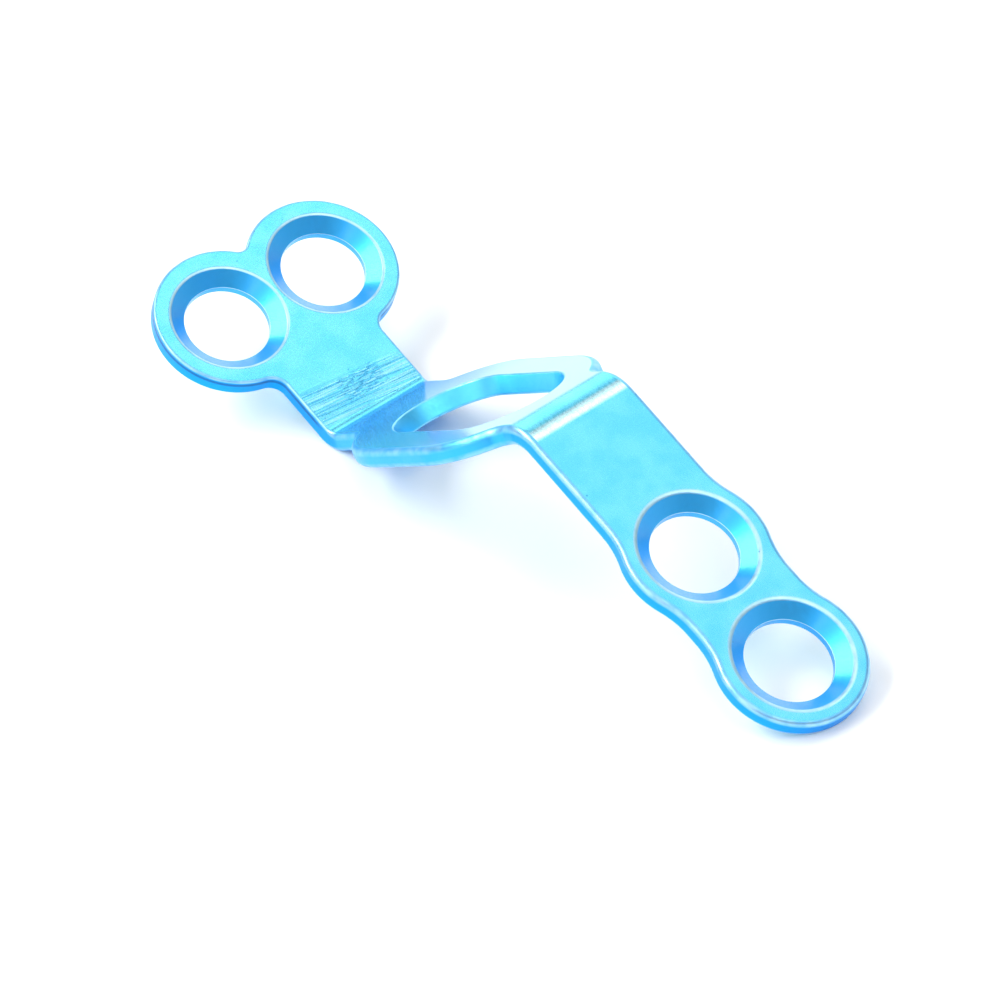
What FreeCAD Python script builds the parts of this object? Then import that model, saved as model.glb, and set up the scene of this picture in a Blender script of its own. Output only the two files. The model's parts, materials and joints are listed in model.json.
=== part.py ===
import FreeCAD, Part
import math
import os
import Sketcher
from FreeCAD import Placement, Rotation, Vector

# A one-piece orthopedic plate with two folds. The head, a tab with two screw holes side by side,
# is flat. The middle slopes up from it as a ring around an oval window. The tail, a strip with
# two screw holes in line, runs on parallel to the head. The plate is drawn with the top face of
# the head in the XY plane, the lower fold along the Y axis and the tail towards +X. At the end
# it is tipped and set down as it lies on a table, on its lower fold and the tip of its tail.

NODE = "bone_plate"

# Lengths are in millimetres and angles in degrees.
SIZES = {
    "plate_thickness": 0.7,
    "strip_width": 4.3,
    "edge_radius": 0.18,
    "window_edge_radius": 0.07,
    "rim_radius": 0.05,
    "hole_diameter": 3.0,
    "countersink_diameter": 4.1,
    "countersink_angle": 105.0,
    "head_hole_setback": 5.6,
    "head_hole_pitch": 4.3,
    "ear_diameter": 5.45,
    "ear_offset": 0.12,
    "ear_corner_radius": 0.6,
    "notch_radius": 0.35,
    "slope_angle": 55.0,
    "slope_length": 11.8,
    "lower_fold_radius": 0.5,
    "upper_fold_radius": 0.9,
    "window_width": 4.24,
    "window_taper": 17.0,
    "window_setback": 4.7,
    "window_top_setback": 3.8,
    "ring_wall": 1.45,
    "ring_setback": 4.45,
    "ring_top_setback": 4.2,
    "ring_base_radius": 0.5,
    "ring_crest_radius": 0.8,
    "tail_hole_setback": 6.6,
    "tail_hole_pitch": 4.7,
    "boss_diameter": 5.16,
    "waist_straight": 0.4,
}

# How near two lengths are taken as equal when a face or an edge is picked.
TOLERANCE = 1e-4


def make_sheet(doc):
    sheet = doc.addObject("Spreadsheet::Sheet", "sizes")
    for row, (name, value) in enumerate(SIZES.items(), start=1):
        sheet.set(f"A{row}", name)
        sheet.set(f"B{row}", str(value))
        sheet.setAlias(f"B{row}", name)
    doc.recompute()
    return sheet


def origin_plane(body, role):
    for feature in body.Origin.OriginFeatures:
        if feature.Role == role:
            return feature
    raise ValueError(f"no origin plane {role}")


def add_sketch(body, name, role="XY_Plane"):
    sketch = body.newObject("Sketcher::SketchObject", name)
    sketch.AttachmentSupport = [(origin_plane(body, role), "")]
    sketch.MapMode = "FlatFace"
    return sketch


def lay_on_slope(sketch, sheet):
    # The X axis of the sketch runs up the top face of the slope from the lower fold.
    sketch.AttachmentOffset = Placement(Vector(), Rotation(Vector(0, -1, 0), sheet.slope_angle))
    sketch.setExpression("AttachmentOffset.Rotation.Angle", "sizes.slope_angle")


def lay_on_tail(sketch):
    # The origin of the sketch is at the upper fold, on the top face of the tail.
    sketch.setExpression("AttachmentOffset.Base.x", "sizes.slope_length * cos(sizes.slope_angle * 1deg)")
    sketch.setExpression("AttachmentOffset.Base.z", "sizes.slope_length * sin(sizes.slope_angle * 1deg)")


def bind(sketch, kind, references, value, name, formula):
    index = sketch.addConstraint(Sketcher.Constraint(kind, *references, value))
    sketch.renameConstraint(index, name)
    sketch.setExpression(f"Constraints.{name}", formula)


def pin_point(sketch, geometry, vertex, point, name, across, up):
    # Each coordinate is a formula, or None where the point is on that axis.
    for kind, value, formula, suffix in (
        ("DistanceX", point.x, across, "across"),
        ("DistanceY", point.y, up, "up"),
    ):
        if formula is None:
            axis = -2 if kind == "DistanceX" else -1
            sketch.addConstraint(Sketcher.Constraint("PointOnObject", geometry, vertex, axis))
        else:
            bind(sketch, kind, (geometry, vertex), value, f"{name}_{suffix}", formula)


def circle(sketch, name, centre, diameter, across, up, diameter_formula):
    index = sketch.addGeometry(Part.Circle(centre, Vector(0, 0, 1), diameter / 2))
    bind(sketch, "Diameter", (index,), diameter, f"{name}_diameter", diameter_formula)
    pin_point(sketch, index, 3, centre, name, across, up)


def half_circle(centre, radius, start_angle):
    whole = Part.Circle(centre, Vector(0, 0, 1), radius)
    return Part.ArcOfCircle(whole, start_angle, start_angle + math.pi)


def slot(sketch, name, start, end, radius, start_formula, end_formula, radius_formula):
    # An oval along the X axis: two half circles joined by straight sides.
    first = Vector(start, 0, 0)
    last = Vector(end, 0, 0)
    side = Vector(0, radius, 0)
    quarter = math.pi / 2
    lower = sketch.addGeometry(half_circle(first, radius, quarter))
    near = sketch.addGeometry(Part.LineSegment(first - side, last - side))
    upper = sketch.addGeometry(half_circle(last, radius, -quarter))
    far = sketch.addGeometry(Part.LineSegment(last + side, first + side))
    ring = (lower, near, upper, far)
    for one, other in zip(ring, ring[1:] + ring[:1]):
        sketch.addConstraint(Sketcher.Constraint("Tangent", one, 2, other, 1))
    sketch.addConstraint(Sketcher.Constraint("Equal", lower, upper))
    bind(sketch, "Radius", (lower,), radius, f"{name}_radius", radius_formula)
    pin_point(sketch, lower, 3, first, f"{name}_first", start_formula, None)
    pin_point(sketch, upper, 3, last, f"{name}_last", end_formula, None)


def polygon(sketch, corners):
    # Each corner is a name, its coordinates and their two formulas.
    lines = []
    following = corners[1:] + corners[:1]
    for (_, start, *_), (_, end, *_) in zip(corners, following):
        lines.append(sketch.addGeometry(Part.LineSegment(start, end)))
    for line, following_line in zip(lines, lines[1:] + lines[:1]):
        sketch.addConstraint(Sketcher.Constraint("Coincident", line, 2, following_line, 1))
    for line, (name, point, across, up) in zip(lines, corners):
        pin_point(sketch, line, 1, point, name, across, up)


def draw_profile(sketch, sheet):
    # The side view with sharp folds, from the middle of the ears to the middle of the last boss.
    thickness = sheet.plate_thickness
    angle = math.radians(sheet.slope_angle)
    mitre = thickness * math.tan(angle / 2)
    run = sheet.slope_length * math.cos(angle)
    rise = sheet.slope_length * math.sin(angle)
    head_end = -sheet.head_hole_setback
    tail_end = run + sheet.tail_hole_setback + sheet.tail_hole_pitch
    mitre_formula = "sizes.plate_thickness * tan(sizes.slope_angle * 1deg / 2)"
    run_formula = "sizes.slope_length * cos(sizes.slope_angle * 1deg)"
    rise_formula = "sizes.slope_length * sin(sizes.slope_angle * 1deg)"
    head_formula = "-sizes.head_hole_setback"
    tail_formula = f"{run_formula} + sizes.tail_hole_setback + sizes.tail_hole_pitch"
    down = "-sizes.plate_thickness"
    corners = [
        ("head_top", Vector(head_end, 0, 0), head_formula, None),
        ("lower_fold", Vector(0, 0, 0), None, None),
        ("upper_fold", Vector(run, rise, 0), run_formula, rise_formula),
        ("tail_top", Vector(tail_end, rise, 0), tail_formula, rise_formula),
        ("tail_base", Vector(tail_end, rise - thickness, 0), tail_formula, f"{rise_formula} {down}"),
        ("upper_fold_base", Vector(run + mitre, rise - thickness, 0),
         f"{run_formula} + {mitre_formula}", f"{rise_formula} {down}"),
        ("lower_fold_base", Vector(mitre, -thickness, 0), mitre_formula, down),
        ("head_base", Vector(head_end, -thickness, 0), head_formula, down),
    ]
    polygon(sketch, corners)


def add_pad(body, sketch, name, length="sizes.plate_thickness", symmetric=False):
    pad = body.newObject("PartDesign::Pad", name)
    pad.Profile = sketch
    pad.SideType = "Symmetric" if symmetric else "One side"
    pad.Reversed = not symmetric
    pad.setExpression("Length", length)
    return pad


def add_head(body, sheet):
    # Each ear is centred a little nearer to the middle of the plate than its hole.
    for side, name in ((1, "far_ear"), (-1, "near_ear")):
        across = side * (sheet.head_hole_pitch / 2 - sheet.ear_offset)
        centre = Vector(-sheet.head_hole_setback, across, 0)
        sketch = add_sketch(body, f"{name}_outline")
        circle(sketch, name, centre, sheet.ear_diameter, "-sizes.head_hole_setback",
               f"{side} * (sizes.head_hole_pitch / 2 - sizes.ear_offset)", "sizes.ear_diameter")
        add_pad(body, sketch, name)


def ring_ends(sheet):
    # The centres of the ring's two round ends, along the slope from the lower fold.
    return sheet.ring_setback, sheet.slope_length - sheet.ring_top_setback


def add_ring(body, sheet):
    sketch = add_sketch(body, "ring_outline")
    lay_on_slope(sketch, sheet)
    radius = sheet.window_width / 2 + sheet.ring_wall
    slot(sketch, "ring", *ring_ends(sheet), radius, "sizes.ring_setback",
         "sizes.slope_length - sizes.ring_top_setback", "sizes.window_width / 2 + sizes.ring_wall")
    add_pad(body, sketch, "ring")


def tail_places(sheet):
    inner = sheet.tail_hole_setback
    return (
        ("inner", inner, "sizes.tail_hole_setback"),
        ("end", inner + sheet.tail_hole_pitch, "sizes.tail_hole_setback + sizes.tail_hole_pitch"),
    )


def add_tail(body, sheet):
    for place, distance, formula in tail_places(sheet):
        name = f"{place}_boss"
        sketch = add_sketch(body, f"{name}_outline")
        lay_on_tail(sketch)
        circle(sketch, name, Vector(distance, 0, 0), sheet.boss_diameter, formula, None,
               "sizes.boss_diameter")
        add_pad(body, sketch, name)


def near(one, other):
    return abs(one - other) < TOLERANCE


def add_fillet(body, name, picks, radius_formula):
    # picks(edge, shape) tells which edges of the body so far are rounded.
    base = body.Tip
    shape = base.Shape
    edges = [f"Edge{number}" for number, edge in enumerate(shape.Edges, start=1) if picks(edge, shape)]
    if not edges:
        raise ValueError(f"{name} finds no edge")
    fillet = body.newObject("PartDesign::Fillet", name)
    fillet.Base = (base, edges)
    fillet.setExpression("Radius", radius_formula)
    body.Document.recompute()


def round_folds(body, sheet):
    # The two faces of a fold bend about one axis, so their radii differ by the thickness.
    thickness = sheet.plate_thickness
    angle = math.radians(sheet.slope_angle)
    mitre = thickness * math.tan(angle / 2)
    run = sheet.slope_length * math.cos(angle)
    rise = sheet.slope_length * math.sin(angle)
    folds = (
        ("lower_fold_top", 0, 0, "sizes.lower_fold_radius"),
        ("lower_fold_base", mitre, -thickness, "sizes.lower_fold_radius + sizes.plate_thickness"),
        ("upper_fold_base", run + mitre, rise - thickness, "sizes.upper_fold_radius"),
        ("upper_fold_top", run, rise, "sizes.upper_fold_radius + sizes.plate_thickness"),
    )
    for name, x, z, radius in folds:
        def crosses_plate(edge, _shape, x=x, z=z):
            return all(near(end.X, x) and near(end.Z, z) for end in edge.Vertexes)
        add_fillet(body, name, crosses_plate, radius)


def is_skin(face):
    # The top and bottom faces lie flat across the plate, and so do the faces of the folds.
    surface = face.Surface
    if isinstance(surface, Part.Plane):
        return near(surface.Axis.y, 0)
    return isinstance(surface, Part.Cylinder) and near(abs(surface.Axis.y), 1)


def is_crease(edge, shape):
    # A sharp edge through the thickness, where two outlines meet.
    walls = shape.ancestorsOfType(edge, Part.Face)
    if any(is_skin(wall) for wall in walls):
        return False
    point = edge.Vertexes[0].Point
    first, second = (wall.normalAt(*wall.Surface.parameter(point)) for wall in walls)
    return first.getAngle(second) > math.radians(1)


def round_outline_corners(body, sheet):
    # The corners are told apart by how far along the slope they are from the lower fold. The
    # waist is as round as the straight stretch that is left between the two bosses allows.
    angle = math.radians(sheet.slope_angle)
    ring_middle = sum(ring_ends(sheet)) / 2
    uphill = Vector(math.cos(angle), 0, math.sin(angle))
    waist_radius = (
        "((sizes.tail_hole_pitch - sizes.waist_straight)^2 - sizes.boss_diameter^2 + sizes.strip_width^2)"
        " / (4 * (sizes.boss_diameter - sizes.strip_width))"
    )
    zones = (
        ("notch_corner", -math.inf, 0, True, "sizes.notch_radius"),
        ("ear_corners", -math.inf, 0, False, "sizes.ear_corner_radius"),
        ("ring_base_corners", 0, ring_middle, False, "sizes.ring_base_radius"),
        ("ring_crest_corners", ring_middle, sheet.slope_length, False, "sizes.ring_crest_radius"),
        ("waist_corners", sheet.slope_length, math.inf, False, waist_radius),
    )
    for name, low, high, on_centre_line, radius in zones:
        def in_zone(edge, shape, low=low, high=high, on_centre_line=on_centre_line):
            middle = edge.CenterOfMass
            if not low < middle.dot(uphill) < high or near(middle.y, 0) != on_centre_line:
                return False
            return is_crease(edge, shape)
        add_fillet(body, name, in_zone, radius)


def meets_skin(edge, shape):
    faces = shape.ancestorsOfType(edge, Part.Face)
    skins = [face for face in faces if is_skin(face)]
    return len(faces) == 2 and len(skins) == 1


def wall_beside(edge, shape):
    return next(face for face in shape.ancestorsOfType(edge, Part.Face) if not is_skin(face))


def cut_window(body, sheet):
    # The window narrows from the top face down. It is cut on past the bottom face.
    sketch = add_sketch(body, "window_outline")
    lay_on_slope(sketch, sheet)
    slot(sketch, "window", sheet.window_setback, sheet.slope_length - sheet.window_top_setback,
         sheet.window_width / 2, "sizes.window_setback", "sizes.slope_length - sizes.window_top_setback",
         "sizes.window_width / 2")
    pocket = body.newObject("PartDesign::Pocket", "window")
    pocket.Profile = sketch
    pocket.setExpression("Length", "2 * sizes.plate_thickness")
    pocket.setExpression("TaperAngle", "-sizes.window_taper")
    body.Document.recompute()

    def on_window(edge, shape):
        # All other walls already meet the skin in a round.
        if not meets_skin(edge, shape):
            return False
        return isinstance(wall_beside(edge, shape).Surface, (Part.Plane, Part.Cone))

    add_fillet(body, "window_edges", on_window, "sizes.window_edge_radius")


def drill(body, name, sketch):
    body.Document.recompute()
    hole = body.newObject("PartDesign::Hole", name)
    hole.Profile = sketch
    hole.ThreadType = "None"
    hole.DepthType = "ThroughAll"
    hole.HoleCutType = "Countersink"
    hole.HoleCutCustomValues = True
    hole.setExpression("Diameter", "sizes.hole_diameter")
    hole.setExpression("HoleCutDiameter", "sizes.countersink_diameter")
    hole.setExpression("HoleCutCountersinkAngle", "sizes.countersink_angle")
    body.Document.recompute()


def drill_holes(body, sheet):
    head = add_sketch(body, "head_hole_places")
    for side, name in ((1, "far"), (-1, "near")):
        centre = Vector(-sheet.head_hole_setback, side * sheet.head_hole_pitch / 2, 0)
        circle(head, name, centre, sheet.hole_diameter, "-sizes.head_hole_setback",
               f"{side} * sizes.head_hole_pitch / 2", "sizes.hole_diameter")
    drill(body, "head_holes", head)
    tail = add_sketch(body, "tail_hole_places")
    lay_on_tail(tail)
    for name, distance, formula in tail_places(sheet):
        circle(tail, name, Vector(distance, 0, 0), sheet.hole_diameter, formula, None, "sizes.hole_diameter")
    drill(body, "tail_holes", tail)

    def on_countersink(edge, shape):
        return meets_skin(edge, shape) and isinstance(wall_beside(edge, shape).Surface, Part.Cone)

    add_fillet(body, "countersink_rims", on_countersink, "sizes.rim_radius")


def lay_down(body, sheet):
    # Two rounds touch the table: the outside of the lower fold and the lower edge of the tail's
    # tip. The plate is tipped until the line under both of them is level.
    thickness = sheet.plate_thickness
    angle = math.radians(sheet.slope_angle)
    fold_round = sheet.lower_fold_radius + thickness
    fold = Vector(-sheet.lower_fold_radius * math.tan(angle / 2), 0, sheet.lower_fold_radius)
    run = sheet.slope_length * math.cos(angle)
    rise = sheet.slope_length * math.sin(angle)
    reach = sheet.tail_hole_setback + sheet.tail_hole_pitch + sheet.boss_diameter / 2
    tip = Vector(run + reach - sheet.edge_radius, 0, rise - thickness + sheet.edge_radius)
    span = tip - fold
    slant = math.atan2(span.z, span.x) + math.asin((fold_round - sheet.edge_radius) / span.Length)
    tipped = Rotation(Vector(0, 1, 0), math.degrees(slant))
    body.Placement = Placement(Vector(), tipped)
    body.Document.recompute()
    box = body.Shape.optimalBoundingBox(False)
    body.Placement = Placement(Vector(-box.Center.x, 0, -box.ZMin), tipped)
    body.Document.recompute()


def check(doc):
    for thing in doc.Objects:
        if "Invalid" in thing.State or "Error" in thing.State:
            raise RuntimeError(f"{thing.Name} failed: {thing.State}")


def build():
    doc = FreeCAD.newDocument("plate")
    sheet = make_sheet(doc)
    body = doc.addObject("PartDesign::Body", NODE)
    body.Label = NODE
    profile = add_sketch(body, "profile", "XZ_Plane")
    draw_profile(profile, sheet)
    add_pad(body, profile, "strip", "sizes.strip_width", symmetric=True)
    add_head(body, sheet)
    add_ring(body, sheet)
    add_tail(body, sheet)
    doc.recompute()
    round_folds(body, sheet)
    round_outline_corners(body, sheet)
    add_fillet(body, "outer_edges", meets_skin, "sizes.edge_radius")
    cut_window(body, sheet)
    drill_holes(body, sheet)
    check(doc)
    lay_down(body, sheet)
    check(doc)
    shape = body.Shape
    if shape.isNull() or not shape.isValid() or len(shape.Solids) != 1:
        raise RuntimeError("the plate is not one valid solid")
    os.makedirs("parts", exist_ok=True)
    shape.exportStep(f"parts/{body.Label}.step")
    box = shape.optimalBoundingBox(False)
    reach = f"{box.XLength:.2f} x {box.YLength:.2f} x {box.ZLength:.2f} mm"
    print(f"{body.Label}: {shape.Volume:.3f} cubic mm, {reach}")


build()
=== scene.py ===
import json
import math

import bpy
import numpy as np
from mathutils import Matrix, Vector
from mathutils.geometry import delaunay_2d_cdt


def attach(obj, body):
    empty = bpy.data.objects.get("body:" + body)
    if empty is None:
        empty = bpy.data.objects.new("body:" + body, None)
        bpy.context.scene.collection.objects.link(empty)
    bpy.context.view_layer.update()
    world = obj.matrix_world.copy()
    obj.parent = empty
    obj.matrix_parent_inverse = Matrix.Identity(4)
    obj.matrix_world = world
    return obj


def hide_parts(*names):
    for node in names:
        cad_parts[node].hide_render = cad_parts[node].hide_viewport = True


# An anodised titanium bone plate on a white table. The plate's fine surface is drawn first as a flat
# pattern: s runs along the plate, y across it and depth down from the top face. The pattern is then
# folded and laid down where the plate lies. Lengths are in millimetres until a mesh is made.

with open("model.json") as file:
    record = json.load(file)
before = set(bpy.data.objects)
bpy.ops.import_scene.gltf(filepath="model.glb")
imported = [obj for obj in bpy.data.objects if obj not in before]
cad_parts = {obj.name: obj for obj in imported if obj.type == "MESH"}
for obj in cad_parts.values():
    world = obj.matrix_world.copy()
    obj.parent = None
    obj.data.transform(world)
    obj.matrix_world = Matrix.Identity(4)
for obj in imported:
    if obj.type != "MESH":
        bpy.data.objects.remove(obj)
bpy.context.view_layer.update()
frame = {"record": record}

NODE = "bone_plate"
METRES = 0.001

PLATE_THICKNESS = 0.7
HALF_WIDTH = 4.3 / 2
HEAD_HOLE_SETBACK = 5.6
HEAD_HOLE_OFFSET = 4.3 / 2
HOLE_RADIUS = 3.0 / 2
COUNTERSINK_RADIUS = 4.1 / 2
COUNTERSINK_ANGLE = math.radians(105)
EAR_RADIUS = 5.45 / 2
EAR_OFFSET = 0.12
EAR_CORNER_RADIUS = 0.6
NOTCH_RADIUS = 0.35
SLOPE_ANGLE = math.radians(55)
SLOPE_LENGTH = 11.8
LOWER_FOLD_RADIUS = 0.5
UPPER_FOLD_RADIUS = 0.9
WINDOW_RADIUS = 4.24 / 2
WINDOW_TAPER = math.radians(17)
WINDOW_SETBACK = 4.7
WINDOW_TOP_SETBACK = 3.8
RING_WALL = 1.45
RING_SETBACK = 4.45
RING_TOP_SETBACK = 4.2
RING_BASE_RADIUS = 0.5
RING_CREST_RADIUS = 0.8
TAIL_HOLE_SETBACK = 6.6
TAIL_HOLE_PITCH = 4.7
BOSS_RADIUS = 5.16 / 2
WAIST_STRAIGHT = 0.4
RING_RADIUS = WINDOW_RADIUS + RING_WALL
COUNTERSINK_DEPTH = (COUNTERSINK_RADIUS - HOLE_RADIUS) / math.tan(COUNTERSINK_ANGLE / 2)

# How round the edges are. The outer edge is crisp on the head and softer towards the tail.
HEAD_EDGE_RADIUS = 0.1
SLOPE_EDGE_RADIUS = 0.25
TAIL_EDGE_RADIUS = 0.2
WINDOW_EDGE_RADIUS = 0.08
HEAD_RIM_RADIUS = 0.2
TAIL_RIM_RADIUS = 0.3
BORE_EDGE_RADIUS = 0.04

# How fine the mesh is.
OUTLINE_STEP = 0.12
ARC_STEP = math.radians(5)
BEND_STEP = math.radians(4.5)
EDGE_STEP = math.radians(15)
ROW_STEP = 0.3
EDGE_CLEARANCE = 0.09


class Spine:
    """The middle line of the folded plate, seen from the side. s = 0 where the lower bend starts."""

    def __init__(self):
        half = PLATE_THICKNESS / 2
        share = math.tan(SLOPE_ANGLE / 2)
        self.lower_radius = LOWER_FOLD_RADIUS + half
        self.upper_radius = UPPER_FOLD_RADIUS + half
        # What each bend takes off the length of the top faces beside it.
        self.lower_cut = LOWER_FOLD_RADIUS * share
        self.upper_cut = (UPPER_FOLD_RADIUS + PLATE_THICKNESS) * share
        self.slope_start = self.lower_radius * SLOPE_ANGLE
        self.slope_end = self.slope_start + SLOPE_LENGTH - self.lower_cut - self.upper_cut
        self.tail_start = self.slope_end + self.upper_radius * SLOPE_ANGLE

    def on_head(self, x):
        return x + self.lower_cut

    def on_slope(self, distance):
        return self.slope_start + distance - self.lower_cut

    def on_tail(self, distance):
        return self.tail_start + distance - self.upper_cut

    def turn(self, s):
        """How far the plate is folded up from the plane of the head at s."""
        lower = np.clip(s, 0, self.slope_start) / self.lower_radius
        upper = np.clip(s - self.slope_end, 0, self.tail_start - self.slope_end) / self.upper_radius
        return lower - upper

    def place(self, s):
        """Where the middle line is, with the top face of the head at z = 0."""
        turn = self.turn(s)
        lower = np.where(s > self.slope_start, SLOPE_ANGLE, turn)
        upper = np.where(s > self.slope_end, turn, SLOPE_ANGLE)
        level = np.minimum(s, 0) + np.maximum(s - self.tail_start, 0)
        climb = np.clip(s - self.slope_start, 0, self.slope_end - self.slope_start)
        x = level + self.lower_radius * np.sin(lower) + climb * math.cos(SLOPE_ANGLE)
        x += self.upper_radius * (math.sin(SLOPE_ANGLE) - np.sin(upper))
        z = self.lower_radius * (1 - np.cos(lower)) + climb * math.sin(SLOPE_ANGLE)
        z += self.upper_radius * (np.cos(upper) - math.cos(SLOPE_ANGLE))
        return x - self.lower_cut, z - PLATE_THICKNESS / 2


SPINE = Spine()
HEAD_HOLES = [(SPINE.on_head(-HEAD_HOLE_SETBACK), side * HEAD_HOLE_OFFSET) for side in (1, -1)]
TAIL_HOLES = [
    (SPINE.on_tail(TAIL_HOLE_SETBACK), 0.0),
    (SPINE.on_tail(TAIL_HOLE_SETBACK + TAIL_HOLE_PITCH), 0.0),
]
WINDOW_ENDS = (SPINE.on_slope(WINDOW_SETBACK), SPINE.on_slope(SLOPE_LENGTH - WINDOW_TOP_SETBACK))
RING_ENDS = (SPINE.on_slope(RING_SETBACK), SPINE.on_slope(SLOPE_LENGTH - RING_TOP_SETBACK))


def pattern_rows():
    """Where the rows of points lie along the plate. They are close together in the two bends."""
    stretches = (
        (HEAD_HOLES[0][0] - EAR_RADIUS, 0, ROW_STEP),
        (0, SPINE.slope_start, BEND_STEP * SPINE.lower_radius),
        (SPINE.slope_start, SPINE.slope_end, ROW_STEP),
        (SPINE.slope_end, SPINE.tail_start, BEND_STEP * SPINE.upper_radius),
        (SPINE.tail_start, TAIL_HOLES[1][0] + BOSS_RADIUS, ROW_STEP),
    )
    rows = []
    for low, high, step in stretches:
        rows.append(np.linspace(low, high, round((high - low) / step), endpoint=False))
    return np.concatenate(rows)


ROWS = pattern_rows()


# The outline and the loops of the holes, as points with normals that point out of the metal.

def beside_line(centre, radius, fillet, side):
    """Centre of a fillet that leaves a circle and runs into the straight edge of the strip."""
    rise = HALF_WIDTH + fillet - centre[1]
    reach = math.sqrt((radius + fillet) ** 2 - rise ** 2)
    return centre[0] + side * reach, HALF_WIDTH + fillet


def outline_chain():
    """The far half of the outline, from the notch to the tip: hollow and bulging arcs and straights."""
    ear = (HEAD_HOLES[0][0], HEAD_HOLE_OFFSET - EAR_OFFSET)
    notch = (ear[0] - math.sqrt((EAR_RADIUS + NOTCH_RADIUS) ** 2 - ear[1] ** 2), 0.0)
    base, crest = ((s, 0.0) for s in RING_ENDS)
    inner, end = TAIL_HOLES
    half_gap = (TAIL_HOLE_PITCH - WAIST_STRAIGHT) / 2
    waist = (half_gap ** 2 - BOSS_RADIUS ** 2 + HALF_WIDTH ** 2) / (2 * (BOSS_RADIUS - HALF_WIDTH))
    strip_side = ("straight", HALF_WIDTH)
    return [
        ("hollow", notch, NOTCH_RADIUS),
        ("bulge", ear, EAR_RADIUS),
        ("hollow", beside_line(ear, EAR_RADIUS, EAR_CORNER_RADIUS, 1), EAR_CORNER_RADIUS),
        strip_side,
        ("hollow", beside_line(base, RING_RADIUS, RING_BASE_RADIUS, -1), RING_BASE_RADIUS),
        ("bulge", base, RING_RADIUS),
        ("straight", RING_RADIUS),
        ("bulge", crest, RING_RADIUS),
        ("hollow", beside_line(crest, RING_RADIUS, RING_CREST_RADIUS, 1), RING_CREST_RADIUS),
        strip_side,
        ("hollow", beside_line(inner, BOSS_RADIUS, waist, -1), waist),
        ("bulge", inner, BOSS_RADIUS),
        ("hollow", beside_line(inner, BOSS_RADIUS, waist, 1), waist),
        strip_side,
        ("hollow", beside_line(end, BOSS_RADIUS, waist, -1), waist),
        ("bulge", end, BOSS_RADIUS),
    ]


def meeting_point(one, other):
    """Where two neighbours of the chain touch."""
    if one[0] == "straight":
        return other[1][0], one[1]
    if other[0] == "straight":
        return one[1][0], other[1]
    share = one[2] / (one[2] + other[2])
    return tuple(a + (b - a) * share for a, b in zip(one[1], other[1]))


def arc_points(centre, radius, start, end, hollow):
    """Points from start up to end, without the last. A bulge runs clockwise and a hollow does not."""
    first = math.atan2(start[1] - centre[1], start[0] - centre[0])
    last = math.atan2(end[1] - centre[1], end[0] - centre[0])
    if hollow and last < first:
        last += math.tau
    if not hollow and last > first:
        last -= math.tau
    span = abs(last - first)
    count = math.ceil(max(span / ARC_STEP, span * radius / OUTLINE_STEP))
    angles = np.linspace(first, last, count, endpoint=False)
    ray = np.column_stack((np.cos(angles), np.sin(angles)))
    return np.array(centre) + radius * ray, -ray if hollow else ray


def straight_points(start, end):
    rows = ROWS[(ROWS > start[0] + EDGE_CLEARANCE) & (ROWS < end[0] - EDGE_CLEARANCE)]
    s = np.concatenate(([start[0]], rows))
    return np.column_stack((s, np.full_like(s, start[1]))), np.tile((0.0, 1.0), (len(s), 1))


def outline_loop():
    chain = outline_chain()
    (_, notch, notch_radius), (_, tip, tip_radius) = chain[0], chain[-1]
    joints = [meeting_point(one, other) for one, other in zip(chain, chain[1:])]
    starts = [(notch[0] + notch_radius, 0.0)] + joints
    ends = joints + [(tip[0] + tip_radius, 0.0)]
    pieces = []
    for piece, start, end in zip(chain, starts, ends):
        if piece[0] == "straight":
            pieces.append(straight_points(start, end))
        else:
            pieces.append(arc_points(piece[1], piece[2], start, end, piece[0] == "hollow"))
    points = np.vstack([some for some, _ in pieces] + [[ends[-1]]])
    normals = np.vstack([away for _, away in pieces] + [[(1.0, 0.0)]])
    mirror = np.array((1.0, -1.0))
    return np.vstack((points, points[-2:0:-1] * mirror)), np.vstack((normals, normals[-2:0:-1] * mirror))


def hole_loop(centre, radius):
    angles = np.arange(0, math.tau - ARC_STEP / 4, ARC_STEP / 2)
    ray = np.column_stack((np.cos(angles), np.sin(angles)))
    return np.array(centre) + radius * ray, -ray


def window_loop():
    first, last = WINDOW_ENDS
    near, far = -WINDOW_RADIUS, WINDOW_RADIUS
    rows = ROWS[(ROWS > first + EDGE_CLEARANCE) & (ROWS < last - EDGE_CLEARANCE)]
    side = np.concatenate(([first], rows))
    far_side = np.column_stack((side, np.full_like(side, far)))
    back = np.concatenate(([last], rows[::-1]))
    near_side = np.column_stack((back, np.full_like(back, near)))
    crest, crest_out = arc_points((last, 0.0), WINDOW_RADIUS, (last, far), (last, near), False)
    base, base_out = arc_points((first, 0.0), WINDOW_RADIUS, (first, near), (first, far), False)
    points = np.vstack((far_side, crest, near_side, base))
    outward = np.vstack((
        np.tile((0.0, -1.0), (len(far_side), 1)), -crest_out,
        np.tile((0.0, 1.0), (len(near_side), 1)), -base_out,
    ))
    return points, outward


# The section through an edge: the way from the top face to the bottom face. A corner is a reach
# towards the opening, a depth and a radius.

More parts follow.
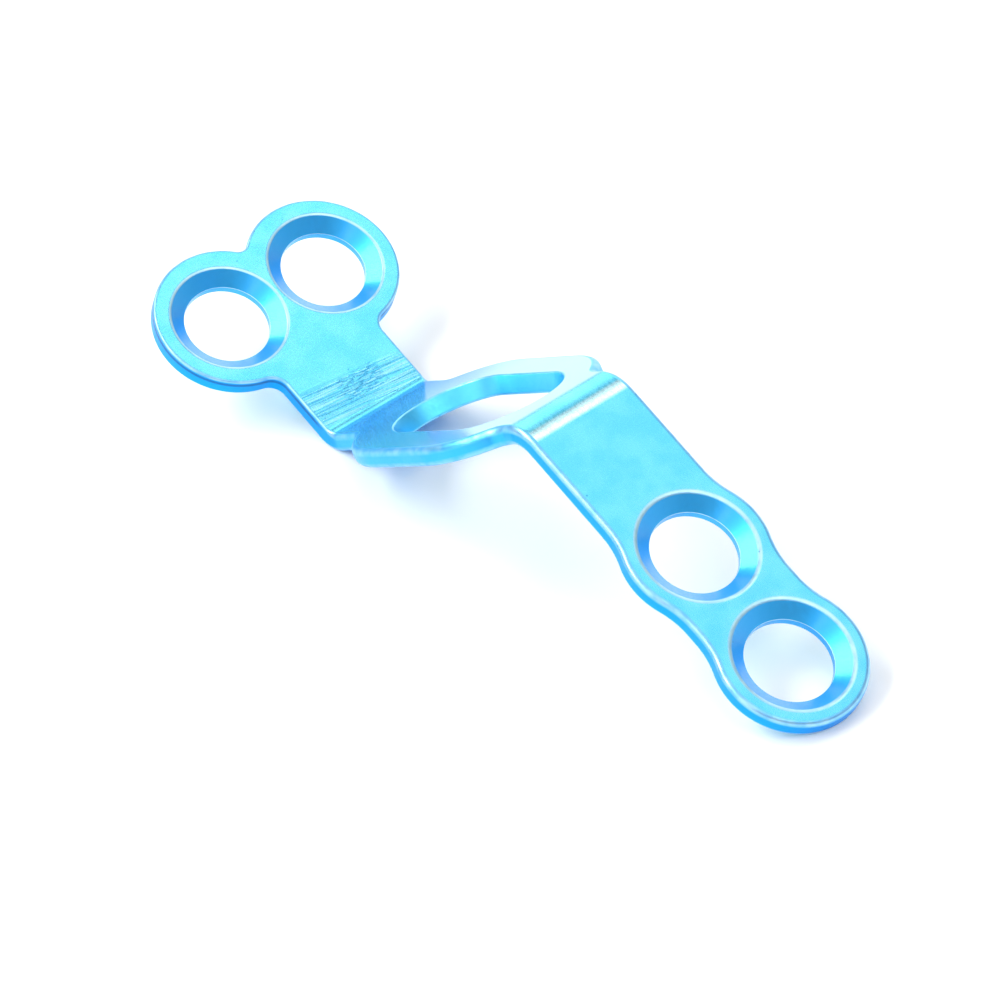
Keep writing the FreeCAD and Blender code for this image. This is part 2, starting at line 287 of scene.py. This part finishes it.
def rounded_section(corners):
    """Per point of the section: its corner, its move per radius, its normal, its radius and how far it
    is inside its round, from 0 at the two ends to 1 in the middle."""
    ends = [(corners[0][0] - 1, corners[0][1])] + [corner[:2] for corner in corners]
    ends.append((corners[-1][0] - 1, corners[-1][1]))
    ends = np.array(ends, dtype=float)
    ways = np.diff(ends, axis=0)
    ways /= np.linalg.norm(ways, axis=1)[:, None]
    rounds = []
    for (reach, depth, radius), way_in, way_out in zip(corners, ways, ways[1:]):
        first = math.atan2(-way_in[0], way_in[1])
        turn = math.acos(float(np.clip(way_in @ way_out, -1, 1)))
        steps = max(2, math.ceil(turn / EDGE_STEP))
        angles = first + np.linspace(0, turn, steps + 1)
        out = np.column_stack((np.cos(angles), np.sin(angles)))
        rounds.append((
            np.tile((reach, depth), (steps + 1, 1)),
            out - out[0] - way_in * math.tan(turn / 2),
            out,
            np.full(steps + 1, radius),
            np.sin(np.linspace(0, math.pi, steps + 1)),
        ))
    return [np.concatenate(parts) for parts in zip(*rounds)]


def edge_radius(s):
    stops = (0, SPINE.slope_start, SPINE.slope_end, SPINE.tail_start)
    return np.interp(s, stops, (HEAD_EDGE_RADIUS, SLOPE_EDGE_RADIUS, SLOPE_EDGE_RADIUS, TAIL_EDGE_RADIUS))


def wall_section(radius):
    return rounded_section(((0, 0, radius), (0, PLATE_THICKNESS, radius)))


def window_section():
    lean = PLATE_THICKNESS * math.tan(WINDOW_TAPER)
    return rounded_section(((0, 0, WINDOW_EDGE_RADIUS), (lean, PLATE_THICKNESS, WINDOW_EDGE_RADIUS)))


def hole_section(rim_radius):
    return rounded_section((
        (HOLE_RADIUS - COUNTERSINK_RADIUS, 0, rim_radius),
        (0, COUNTERSINK_DEPTH, BORE_EDGE_RADIUS),
        (0, PLATE_THICKNESS, BORE_EDGE_RADIUS),
    ))


# How deep the colour of a wall is, and how much clear gloss lies on it. Both run from 0 to 1. The deep
# colour is partly painted shade, for the darker surroundings that walls and cones mirror.
WALL_FINISH = (1.0, 0.0)
CONE_FINISH = (0.85, 0.7)
WINDOW_FINISH = (0.4, 0.0)


class Pattern:
    """The plate's skin in the flat pattern: points (s, y, depth), their normals and the faces."""

    def __init__(self):
        self.points = []
        self.normals = []
        self.finishes = []
        self.faces = []
        self.count = 0

    def add(self, points, normals, finish):
        first = self.count
        self.points.append(points)
        self.normals.append(normals)
        self.finishes.append(np.tile(np.array(finish, dtype=float), (len(points), 1)))
        self.count += len(points)
        return first

    def add_wall(self, loop, section, radii=None, finish=WALL_FINISH):
        """Sweeps a section along a closed loop. Gives back the point numbers of its two rims."""
        points, out = loop
        rows = []
        for anchor, offset, lean, radius, share in zip(*section):
            size = np.full(len(points), radius) if radii is None else radii
            reach = anchor[0] + offset[0] * size
            depth = anchor[1] + offset[1] * size
            place = np.column_stack((points + out * reach[:, None], depth))
            normal = np.column_stack((out * lean[0], np.full(len(points), lean[1])))
            first = self.add(place, normal, (min(1, 3 * lean[0]) * finish[0], share, finish[1]))
            rows.append(np.arange(first, first + len(points)))
        for upper, lower in zip(rows, rows[1:]):
            quads = np.column_stack((upper, np.roll(upper, -1), np.roll(lower, -1), lower))
            self.faces.extend(quads.tolist())
        return rows[0], rows[-1]

    def add_skin(self, rims, depth, up):
        """Fills a flat face between the rims: the first is its outline, the others are its openings."""
        points = np.vstack(self.points)
        rings = [points[rim, :2] for rim in rims]
        inner = grid_points(rings)
        first = self.add(
            np.column_stack((inner, np.full(len(inner), depth))),
            np.tile((0.0, 0.0, -1.0 if up else 1.0), (len(inner), 1)),
            (0.0, 0.0, 0.0),
        )
        numbers = np.concatenate(list(rims) + [np.arange(first, first + len(inner))])
        flat = np.vstack(rings + [inner])
        edges = []
        start = 0
        for ring in rings:
            ring_numbers = np.arange(start, start + len(ring))
            edges.extend(np.column_stack((ring_numbers, np.roll(ring_numbers, -1))).tolist())
            start += len(ring)
        filled = delaunay_2d_cdt([Vector(point) for point in flat], edges, [], 0, 1e-7, True)
        sources = np.array([ids[0] for ids in filled[3]])
        triangles = sources[np.array(filled[2])]
        middles = flat[triangles].mean(axis=1)
        self.faces.extend(numbers[triangles[on_metal(middles, rings)]].tolist())


def inside(points, ring):
    """Which points a closed ring surrounds."""
    ahead = np.roll(ring, -1, axis=0)
    result = np.zeros(len(points), dtype=bool)
    for (s, y), (next_s, next_y) in zip(ring, ahead):
        if y == next_y:
            continue
        spans = (points[:, 1] > y) != (points[:, 1] > next_y)
        crossing = s + (points[:, 1] - y) / (next_y - y) * (next_s - s)
        result ^= spans & (points[:, 0] < crossing)
    return result


def on_metal(points, rings):
    """Which points lie within the first ring and outside the others."""
    keep = inside(points, rings[0])
    for ring in rings[1:]:
        keep &= ~inside(points, ring)
    return keep


def grid_points(rings):
    """Points of a grid on the metal, clear of every edge."""
    widest = max(abs(ring[:, 1]).max() for ring in rings)
    half = np.arange(ROW_STEP / 2, widest, ROW_STEP)
    columns = np.concatenate((-half[::-1], half))
    s, y = np.meshgrid(ROWS, columns)
    points = np.column_stack((s.ravel(), y.ravel()))
    points = points[on_metal(points, rings)]
    for ring in rings:
        gaps = np.linalg.norm(points[:, None, :] - ring[None, :, :], axis=2).min(axis=1)
        points = points[gaps > EDGE_CLEARANCE]
    return points


def draw_pattern():
    pattern = Pattern()
    outline = outline_loop()
    walls = [pattern.add_wall(outline, wall_section(1.0), radii=edge_radius(outline[0][:, 0]))]
    walls.append(pattern.add_wall(window_loop(), window_section(), finish=WINDOW_FINISH))
    for centres, rim_radius in ((HEAD_HOLES, HEAD_RIM_RADIUS), (TAIL_HOLES, TAIL_RIM_RADIUS)):
        for centre in centres:
            loop = hole_loop(centre, HOLE_RADIUS)
            walls.append(pattern.add_wall(loop, hole_section(rim_radius), finish=CONE_FINISH))
    pattern.add_skin([top for top, _ in walls], 0.0, up=True)
    pattern.add_skin([bottom for _, bottom in walls], PLATE_THICKNESS, up=False)
    return pattern


def fold(points, normals):
    """Folds pattern points and normals into the plate's own frame."""
    s, y, depth = points.T
    turn = SPINE.turn(s)
    x, z = SPINE.place(s)
    below = depth - PLATE_THICKNESS / 2
    placed = np.column_stack((x + below * np.sin(turn), y, z - below * np.cos(turn)))
    along, across, down = normals.T
    turned = np.column_stack((
        along * np.cos(turn) + down * np.sin(turn), across, along * np.sin(turn) - down * np.cos(turn),
    ))
    return placed, turned


def lie():
    """The turn and the shift that lay the plate down, from where the record puts a head hole."""
    mounts = {mount["name"]: mount for mount in frame["record"]["mounts"]}
    hole = mounts["head_hole_far"]
    up = Vector(hole["axis"])
    turn = Matrix.Rotation(math.atan2(up.x, up.z), 4, "Y")
    middle_of_land = -(COUNTERSINK_DEPTH + PLATE_THICKNESS) / 2
    own_place = Vector((-HEAD_HOLE_SETBACK, HEAD_HOLE_OFFSET, middle_of_land))
    shift = Vector(hole["pos_m"]) / METRES - turn @ own_place
    return Matrix.Translation(shift) @ turn


LIE = lie()


def make_plate():
    pattern = draw_pattern()
    points, normals = fold(np.vstack(pattern.points), np.vstack(pattern.normals))
    faces = [list(face) for face in pattern.faces]
    for face in faces:
        a, b, c = (points[corner] for corner in face[:3])
        if np.cross(b - a, c - b) @ normals[face].sum(axis=0) < 0:
            face.reverse()
    turn = np.array(LIE.to_3x3())
    shift = np.array(LIE.translation)
    mesh = bpy.data.meshes.new(NODE + "_surface")
    mesh.from_pydata(((points @ turn.T + shift) * METRES).tolist(), [], faces)
    mesh.polygons.foreach_set("use_smooth", np.ones(len(faces), dtype=bool))
    mesh.normals_split_custom_set_from_vertices((normals @ turn.T).tolist())
    for name, values in (("pattern", pattern.points), ("finish", pattern.finishes)):
        attribute = mesh.attributes.new(name, "FLOAT_VECTOR", "POINT")
        attribute.data.foreach_set("vector", np.vstack(values).ravel().astype(np.float32))
    mesh.validate()
    plate = bpy.data.objects.new(NODE + "_surface", mesh)
    bpy.context.collection.objects.link(plate)
    return plate


# The camera stands where the photograph was taken from, given in the plate's own frame.
CAMERA_PLACE = Vector((56.868, -84.224, 146.713))
CAMERA_RIGHT = Vector((0.6261, 0.7493, 0.2157))
CAMERA_DOWN = Vector((0.7232, -0.4548, -0.5197))
FOCAL_LENGTH = 188.22
SENSOR_WIDTH = 36


def add_camera():
    right = (LIE.to_3x3() @ CAMERA_RIGHT).normalized()
    back = right.cross(-(LIE.to_3x3() @ CAMERA_DOWN)).normalized()
    up = back.cross(right)
    data = bpy.data.cameras.new("camera")
    data.sensor_width = SENSOR_WIDTH
    data.lens = FOCAL_LENGTH
    data.clip_start = 0.01
    camera = bpy.data.objects.new("camera", data)
    axes = Matrix((right, up, back)).transposed()
    camera.matrix_world = Matrix.Translation(LIE @ CAMERA_PLACE * METRES) @ axes.to_4x4()
    bpy.context.collection.objects.link(camera)
    bpy.context.scene.camera = camera


class Nodes:
    """Adds nodes to a material or a world and joins them."""

    def __init__(self, owner):
        owner.use_nodes = True
        self.tree = owner.node_tree
        self.tree.nodes.clear()

    def add(self, kind, inputs=None, **settings):
        node = self.tree.nodes.new(kind)
        for name, value in settings.items():
            setattr(node, name, value)
        for socket, value in (inputs or {}).items():
            if isinstance(value, bpy.types.NodeSocket):
                self.tree.links.new(value, node.inputs[socket])
            else:
                node.inputs[socket].default_value = value
        return node

    def math(self, operation, first, second=0.0, third=0.0):
        return self.add("ShaderNodeMath", {0: first, 1: second, 2: third}, operation=operation).outputs[0]


def ramp(nodes, value, low, high, first, last):
    """Runs smoothly from first to last while the value goes from low to high."""
    inputs = {0: value, 1: low, 2: high, 3: first, 4: last}
    return nodes.add("ShaderNodeMapRange", inputs, interpolation_type="SMOOTHSTEP").outputs[0]


def noise(nodes, place, scale, detail=2.0):
    inputs = {"Vector": place, "Scale": scale, "Detail": detail}
    return nodes.add("ShaderNodeTexNoise", inputs).outputs["Fac"]


def mix_colour(nodes, share, first, second):
    inputs = {0: share, 6: first, 7: second}
    return nodes.add("ShaderNodeMix", inputs, data_type="RGBA").outputs[2]


def seen_sharply(nodes):
    """1 for what the camera sees directly, mirrored or through glass, and 0 for what only lights."""
    path = nodes.add("ShaderNodeLightPath")
    mirrored = nodes.math("MAXIMUM", path.outputs["Is Glossy Ray"], path.outputs["Is Transmission Ray"])
    return nodes.math("MAXIMUM", path.outputs["Is Camera Ray"], mirrored)


# The anodised colours: of the flat faces, painted paler in part as painted sheen, and of the clouds on
# them; of the walls, deeper in part as painted shade; of the painted highlights on edges, crest and
# cutter ridges; of specks, also used as painted shade in the cuts; and of the painted shade line on the
# walls of the head.
FACE = (0.18, 0.75, 0.98, 1)
FACE_CLOUD = (0.12, 0.66, 0.97, 1)
WALL = (0.005, 0.38, 0.93, 1)
PAINTED_HIGHLIGHT = (0.65, 0.95, 1.0, 1)
SPECK_AND_CUT_SHADE = (0.03, 0.28, 0.62, 1)
PAINTED_SHADE_LINE = (0.01, 0.10, 0.32, 1)

# The slope is painted deep blue above the lower fold, a painted reflection of the blue head, and gets
# paler and glossier over this length.
SLOPE_FADE = 5.0
# Heights of what a cutter left: ridges and grooves across the head, short dashes and a step. The cuts get
# painted shade, darkest where a cut is as deep as the value below or deeper, and the ridges a painted
# highlight.
RIDGE_HEIGHT = 0.01
GROOVE_DEPTH = 0.014
DASH_DEPTH = 0.024
STEP_HEIGHT = 0.015
FULL_SHADE_DEPTH = 0.02
# How far the grain stands proud on blasted faces, and on all faces.
BLASTED_GRAIN = 0.0025
LEAST_GRAIN = 0.0005
COAT_ROUGHNESS = 0.15


def streaks(nodes, s, y, fine, long):
    """Noise that is fine along the plate and long across it."""
    place = {0: nodes.math("MULTIPLY", s, fine), 1: nodes.math("MULTIPLY", y, long)}
    return noise(nodes, nodes.add("ShaderNodeCombineXYZ", place).outputs[0], 1.0)


def between(nodes, value, low, high, fade):
    """1 between low and high, and 0 beyond the fades on both sides."""
    rise = ramp(nodes, value, low - fade, low, 0.0, 1.0)
    return nodes.math("MULTIPLY", rise, ramp(nodes, value, high, high + fade, 1.0, 0.0))


def cutter_marks(nodes, s, y):
    """Height of the lines and dashes that a cutter left across the head beside the lower fold."""
    slanted = nodes.math("MULTIPLY_ADD", y, -0.1, s)
    cuts = streaks(nodes, slanted, y, 18.0, 0.3)
    ridges = ramp(nodes, cuts, 0.5, 0.56, 0.0, RIDGE_HEIGHT)
    grooves = ramp(nodes, cuts, 0.37, 0.42, GROOVE_DEPTH, 0.0)
    lines = nodes.math("SUBTRACT", ridges, grooves)
    lined = nodes.math("MULTIPLY", between(nodes, slanted, -1.15, -0.05, 0.35), lines)
    dashes = ramp(nodes, streaks(nodes, slanted, y, 18.0, 3.2), 0.53, 0.58, 0.0, DASH_DEPTH)
    patch = nodes.math("MULTIPLY", between(nodes, s, -1.2, -0.5, 0.2), between(nodes, y, -0.5, 0.8, 0.35))
    return nodes.math("SUBTRACT", lined, nodes.math("MULTIPLY", patch, dashes))


def cutter_step(nodes, s, y):
    """Height of the step where the cutter stopped."""
    return ramp(nodes, nodes.math("MULTIPLY_ADD", y, -0.059, s), -0.36, -0.32, STEP_HEIGHT, 0.0)


class Zones:
    """What the material mixes by: a point's place in the pattern, and shares from 0 to 1."""

    def __init__(self, nodes):
        self.place = nodes.add("ShaderNodeAttribute", attribute_name="pattern").outputs["Vector"]
        finish = nodes.add("ShaderNodeAttribute", attribute_name="finish").outputs["Vector"]
        self.s, self.y, self.below = nodes.add("ShaderNodeSeparateXYZ", {0: self.place}).outputs
        self.depth, self.edge, self.gloss = nodes.add("ShaderNodeSeparateXYZ", {0: finish}).outputs
        self.slope = between(nodes, self.s, SPINE.slope_start, SPINE.slope_end, 0.3)
        self.flat = ramp(nodes, self.depth, 0.0, 0.3, 1.0, 0.0)
        # The flat faces of the slope are polished, and the others are blasted.
        self.mirror = nodes.math("MULTIPLY", self.slope, self.flat)
        self.blasted = nodes.math("SUBTRACT", self.flat, self.mirror)
        fade_end = SPINE.slope_start + SLOPE_FADE
        self.crestward = ramp(nodes, self.s, SPINE.slope_start, fade_end, 0.0, 1.0)


def anodised_colour(nodes, at):
    """Clouded faces; walls deeper in colour, partly as painted shade; the slope painted deep blue by the
    lower fold as a painted reflection of the head; and a painted shade line along the walls of the head.
    """
    cloud = ramp(nodes, noise(nodes, at.place, 0.9, 3.0), 0.35, 0.65, 0.0, 0.7)
    face = mix_colour(nodes, cloud, FACE, FACE_CLOUD)
    # Painted reflection: the slope's flat faces take the deep wall colour near the lower fold, where they
    # mirror the head.
    fade = nodes.math("MULTIPLY_ADD", at.crestward, -0.5, 1.0)
    painted_slope_reflection = nodes.math("MULTIPLY", at.mirror, fade)
    # Walls and cones get the deeper colour, partly painted shade for the darker surroundings they mirror,
    # while the faces stay paler as painted sheen.
    paler = nodes.math("MULTIPLY_ADD", at.slope, -0.3, 1.0)
    wall_depth = nodes.math("MULTIPLY", at.depth, paler)
    colour = mix_colour(nodes, nodes.math("MAXIMUM", wall_depth, painted_slope_reflection), face, WALL)
    # Painted shade: a dark line along the walls of the head, where they mirror the shadowed table.
    on_head = ramp(nodes, at.s, -0.6, 0.0, 1.0, 0.0)
    head_wall = nodes.math("MULTIPLY", on_head, ramp(nodes, at.depth, 0.9, 1.0, 0.0, 0.75))
    painted_shade_line = nodes.math("MULTIPLY", between(nodes, at.below, 0.17, 0.23, 0.08), head_wall)
    return mix_colour(nodes, painted_shade_line, colour, PAINTED_SHADE_LINE)


def highlight_share(nodes, at):
    """How much painted highlight lies on the colour: along the rounded edges, broken up in scuff-like
    patches, and in a stripe on the crest of the upper bend.
    """
    # Painted highlight along the rounded edges: stronger on the cone rims, weaker on the slope.
    edge_highlight = nodes.math("MULTIPLY_ADD", at.slope, -0.25, nodes.math("MULTIPLY_ADD", at.gloss, 0.5, 0.1))
    patchy_edge_highlight = nodes.math("ADD", edge_highlight, ramp(nodes, noise(nodes, at.place, 2.0), 0.3, 0.65, 0.25, 0.5))
    # Painted highlight in a stripe on the crest of the upper bend.
    stripe = between(nodes, at.s, SPINE.tail_start - 0.32, SPINE.tail_start - 0.12, 0.12)
    crest = nodes.math("MULTIPLY", nodes.math("MULTIPLY", stripe, at.flat), 0.85)
    return nodes.math("MAXIMUM", nodes.math("MULTIPLY", at.edge, patchy_edge_highlight), crest)


def plate_material():
    material = bpy.data.materials.new("anodised_titanium")
    nodes = Nodes(material)
    at = Zones(nodes)
    grain = noise(nodes, at.place, 9.0, 4.0)
    marks = nodes.math("MULTIPLY", cutter_marks(nodes, at.s, at.y), at.flat)

    # Painted highlights on the rounded edges, the hole rims and the crest.
    colour = mix_colour(nodes, highlight_share(nodes, at), anodised_colour(nodes, at), PAINTED_HIGHLIGHT)
    # Painted highlight on the cutter's ridges and painted shade in its cuts, both by their height; the
    # shade uses the speck colour.
    colour = mix_colour(nodes, ramp(nodes, marks, 0.0, RIDGE_HEIGHT, 0.0, 0.3), colour, PAINTED_HIGHLIGHT)
    colour = mix_colour(nodes, ramp(nodes, marks, -FULL_SHADE_DEPTH, 0.0, 0.6, 0.0), colour, SPECK_AND_CUT_SHADE)
    cells = nodes.add("ShaderNodeTexVoronoi", {"Vector": at.place, "Scale": 1.2})
    speck = ramp(nodes, cells.outputs["Distance"], 0.03, 0.06, 0.6, 0.0)
    colour = mix_colour(nodes, speck, colour, SPECK_AND_CUT_SHADE)

    rough = ramp(nodes, grain, 0.3, 0.7, 0.32, 0.42)
    smoother = nodes.math("MULTIPLY_ADD", at.flat, -0.1, rough)
    roughness = nodes.math("MULTIPLY_ADD", at.mirror, -0.14, smoother)

    grain_height = nodes.math("MULTIPLY_ADD", at.blasted, BLASTED_GRAIN, LEAST_GRAIN)
    fine = nodes.math("MULTIPLY", grain, grain_height)
    cut = nodes.math("MULTIPLY_ADD", cutter_step(nodes, at.s, at.y), at.flat, marks)
    bump = nodes.add("ShaderNodeBump", {
        "Strength": 1.0, "Distance": METRES, "Height": nodes.math("ADD", fine, cut),
    })
    shader = nodes.add("ShaderNodeBsdfPrincipled", {
        "Base Color": colour,
        "Metallic": 1.0,
        "Roughness": roughness,
        "Normal": bump.outputs[0],
        "Coat Weight": nodes.math("MAXIMUM", at.gloss, nodes.math("MULTIPLY", at.mirror, at.crestward)),
        "Coat Roughness": COAT_ROUGHNESS,
    })
    nodes.add("ShaderNodeOutputMaterial", {"Surface": shader.outputs[0]})
    return material


# How pale the table is to the light and to the eye, and how bright the room and its horizon are.
FLOOR_LIGHTING = (0.75, 0.75, 0.75, 1)
FLOOR_SEEN = (1, 1, 1, 1)
ROOM = (0.5, 0.5, 0.5, 1)
HORIZON = (1, 1, 1, 1)
TABLE_HALF_WIDTH = 0.8
LAMP_DISTANCE = 1.0
# The softboxes: the azimuth and elevation they are at, how many degrees wide and high they look from
# the plate, and how bright they are.
SOFTBOXES = (
    ("overhead", 55, 71, 66, 66, 0.6),
    ("key", 106, 61, 10, 8, 3.2),
    ("side", -138, 48, 64, 20, 6.5),
    ("front", -14, 51, 78, 16, 1.6),
    ("back", 136, 24, 66, 34, 1.15),
    ("fill", -90, 30, 44, 60, 0.9),
)


def add_floor():
    mesh = bpy.data.meshes.new("floor")
    half = TABLE_HALF_WIDTH
    corners = [(-half, -half, 0), (half, -half, 0), (half, half, 0), (-half, half, 0)]
    mesh.from_pydata(corners, [], [(0, 1, 2, 3)])
    floor = bpy.data.objects.new("floor", mesh)
    bpy.context.collection.objects.link(floor)
    material = bpy.data.materials.new("white_table")
    nodes = Nodes(material)
    colour = mix_colour(nodes, seen_sharply(nodes), FLOOR_LIGHTING, FLOOR_SEEN)
    shader = nodes.add("ShaderNodeBsdfDiffuse", {"Color": colour})
    nodes.add("ShaderNodeOutputMaterial", {"Surface": shader.outputs[0]})
    mesh.materials.append(material)


def add_world():
    """A room that is dim above and as pale as the table round the horizon."""
    world = bpy.data.worlds.new("studio")
    bpy.context.scene.world = world
    nodes = Nodes(world)
    way = nodes.add("ShaderNodeTexCoord").outputs["Generated"]
    height = nodes.add("ShaderNodeSeparateXYZ", {0: way}).outputs[2]
    colour = mix_colour(nodes, ramp(nodes, height, 0.03, 0.22, 1.0, 0.0), ROOM, HORIZON)
    background = nodes.add("ShaderNodeBackground", {"Color": colour, "Strength": 1.0})
    nodes.add("ShaderNodeOutputWorld", {"Surface": background.outputs[0]})


def add_softbox(name, azimuth, elevation, width, height, brightness):
    """A softbox that looks width by height degrees large from the plate and has an even brightness."""
    turn, rise = math.radians(azimuth), math.radians(elevation)
    way = Vector((math.cos(turn) * math.cos(rise), math.sin(turn) * math.cos(rise), math.sin(rise)))
    data = bpy.data.lights.new(name, "AREA")
    data.shape = "ELLIPSE"
    data.size = 2 * LAMP_DISTANCE * math.tan(math.radians(width) / 2)
    data.size_y = 2 * LAMP_DISTANCE * math.tan(math.radians(height) / 2)
    data.energy = brightness * math.pi * math.pi / 4 * data.size * data.size_y
    lamp = bpy.data.objects.new(name, data)
    lamp.location = way * LAMP_DISTANCE
    lamp.rotation_euler = way.to_track_quat("Z", "Y").to_euler()
    lamp.visible_camera = False
    bpy.context.collection.objects.link(lamp)


bpy.context.scene.view_settings.view_transform = "Standard"
plate = make_plate()
plate.data.materials.append(plate_material())
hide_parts(NODE)
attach(plate, "root")
add_camera()
add_floor()
add_world()
for softbox in SOFTBOXES:
    add_softbox(*softbox)
